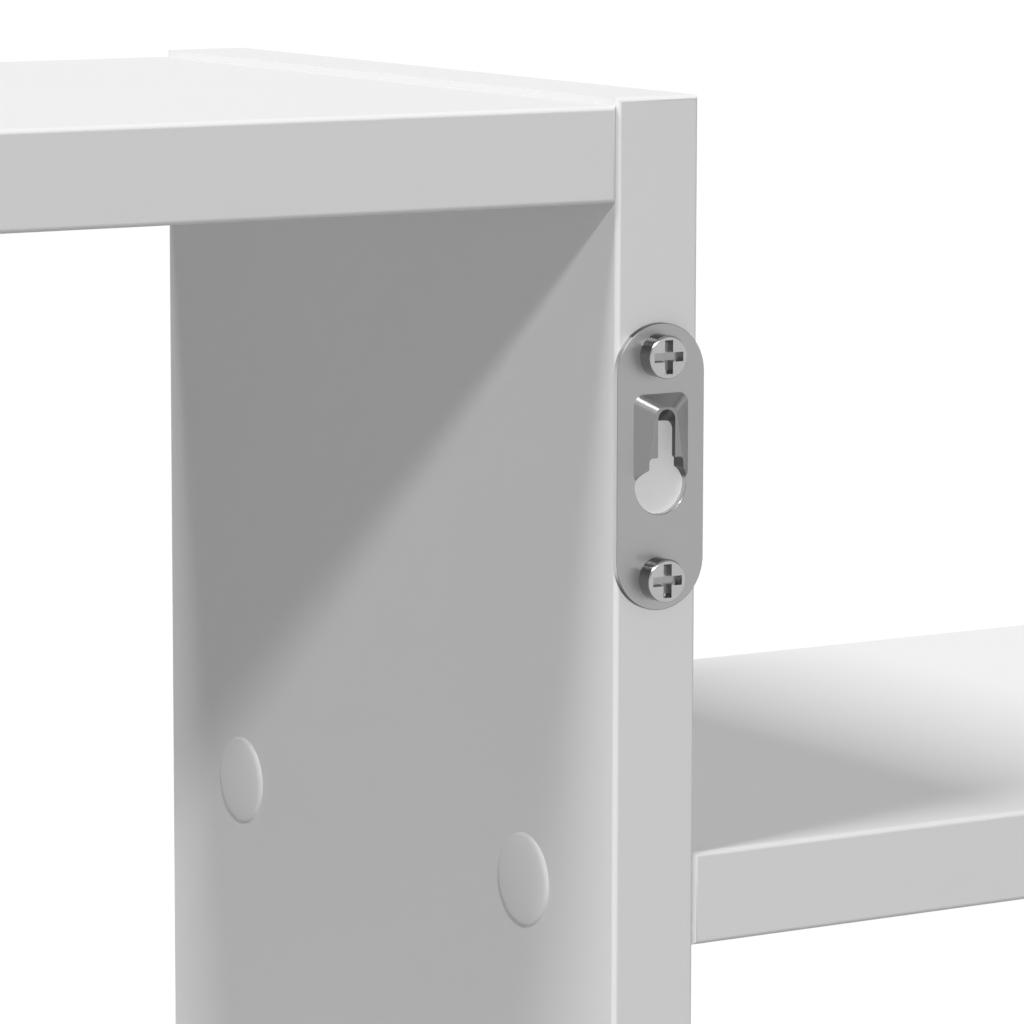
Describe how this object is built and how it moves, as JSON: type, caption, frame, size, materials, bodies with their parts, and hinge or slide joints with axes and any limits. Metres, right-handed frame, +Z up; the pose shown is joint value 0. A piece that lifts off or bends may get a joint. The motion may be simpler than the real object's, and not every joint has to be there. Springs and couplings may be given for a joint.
{
  "type": "wall shelf",
  "caption": "White wall shelf of staggered open cells, made of edged panels screwed together under round caps and hung on keyhole plates behind.",
  "frame": {"origin": "middle of the footprint, at the foot of the uprights", "axes": "+X along the shelf's length, +Y towards the wall, +Z up; the front faces -Y"},
  "size_m": [0.8424, 0.1542, 0.3729],
  "materials": {
    "white_panel": "smooth satin white board",
    "white_edging": "smooth satin white",
    "white_cap": "smooth satin white",
    "plate_steel": "pressed, zinc plated",
    "plate_screw_steel": "bright nickel plated",
    "connecting_screw_steel": "zinc plated"
  },
  "bodies": {
    "root": {"upright_outer_left": "white_panel", "edging_upright_outer_left": "white_edging", "connecting_screws_outer_left": "connecting_screw_steel", "upright_inner_left": "white_panel", "edging_upright_inner_left": "white_edging", "connecting_screws_inner_left": "connecting_screw_steel", "upright_inner_right": "white_panel", "edging_upright_inner_right": "white_edging", "connecting_screws_inner_right": "connecting_screw_steel", "upright_outer_right": "white_panel", "edging_upright_outer_right": "white_edging", "connecting_screws_outer_right": "connecting_screw_steel", "shelf_left_bottom": "white_panel", "edging_shelf_left_bottom": "white_edging", "shelf_left_top": "white_panel", "edging_shelf_left_top": "white_edging", "shelf_centre_bottom": "white_panel", "edging_shelf_centre_bottom": "white_edging", "shelf_centre_top": "white_panel", "edging_shelf_centre_top": "white_edging", "shelf_right_bottom": "white_panel", "edging_shelf_right_bottom": "white_edging", "shelf_right_top": "white_panel", "edging_shelf_right_top": "white_edging", "cover_caps_outer_left_left_face": "white_cap", "cover_caps_inner_left_left_face": "white_cap", "cover_caps_inner_left_right_face": "white_cap", "cover_caps_inner_right_left_face": "white_cap", "cover_caps_inner_right_right_face": "white_cap", "cover_caps_outer_right_right_face": "white_cap", "keyhole_plate_inner_left": "plate_steel", "plate_screws_inner_left": "plate_screw_steel", "keyhole_plate_inner_right": "plate_steel", "plate_screws_inner_right": "plate_screw_steel"}
  },
  "joints": []
}
